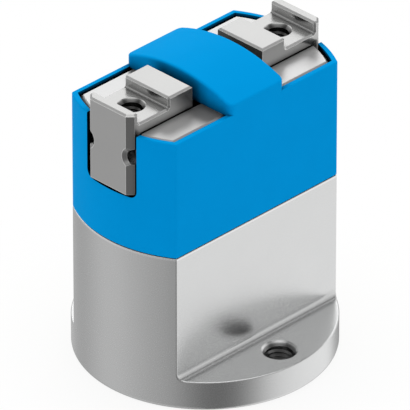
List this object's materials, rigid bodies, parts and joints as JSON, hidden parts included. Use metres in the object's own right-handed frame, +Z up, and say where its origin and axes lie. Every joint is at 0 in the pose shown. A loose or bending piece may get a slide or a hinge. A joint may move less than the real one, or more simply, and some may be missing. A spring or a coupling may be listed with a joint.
{
  "type": "pneumatic parallel gripper",
  "caption": "Small air driven gripper: round flanged metal body, blue moulded cap with an arched bridge, and parallel sliding jaws with threaded mounting holes.",
  "frame": {"origin": "centre of the base's underside", "axes": "+Z up along the body axis, +X along the jaw travel towards the air ports, +Y across the flats towards the rear"},
  "size_m": [0.0402, 0.04, 0.0494],
  "materials": {
    "body_aluminium": "satin, clear anodised",
    "cap_plastic": "moulded, smooth semi-gloss",
    "housing_aluminium": "fine ground",
    "jaw_steel": "fine ground and hardened",
    "driver_steel": "ground",
    "hard_steel": "polished",
    "piston_aluminium": "turned",
    "cover_aluminium": "turned, clear anodised",
    "ring_steel": "phosphated",
    "screw_steel": "zinc plated",
    "bush_bronze": "sintered",
    "seal_rubber": "smooth",
    "bumper_rubber": "smooth",
    "guide_plastic": "machined"
  },
  "bodies": {
    "base": {"body": "body_aluminium", "cap": "cap_plastic", "guide_housing": "housing_aluminium", "guide_rod_front": "hard_steel", "guide_rod_rear": "hard_steel", "rod_bush": "bush_bronze", "rod_seal": "seal_rubber", "upper_bumper": "bumper_rubber", "lower_bumper": "bumper_rubber", "end_cover": "cover_aluminium", "end_cover_seal": "seal_rubber", "retaining_ring": "ring_steel", "housing_screws": "screw_steel", "dowel_pins": "hard_steel"},
    "drive": {"piston": "piston_aluminium", "piston_rod": "hard_steel", "piston_screw": "screw_steel", "piston_seal": "seal_rubber", "piston_guide_ring": "guide_plastic", "wedge_driver": "driver_steel"},
    "left_jaw": {"jaw_left": "jaw_steel"},
    "right_jaw": {"jaw_right": "jaw_steel"}
  },
  "joints": [
    {"name": "piston_slide", "type": "slide", "parent": "base", "child": "drive", "axis": [0, 0, -1], "range_m": [0, 0.005]},
    {"name": "jaw_left_slide", "type": "slide", "parent": "base", "child": "left_jaw", "axis": [-1, 0, 0], "range_m": [0, 0.002]},
    {"name": "jaw_right_slide", "type": "slide", "parent": "base", "child": "right_jaw", "axis": [1, 0, 0], "range_m": [0, 0.002]}
  ],
  "couplings": [
    {"joint": "jaw_left_slide", "follows": "piston_slide", "ratio": 0.4},
    {"joint": "jaw_right_slide", "follows": "piston_slide", "ratio": 0.4}
  ]
}
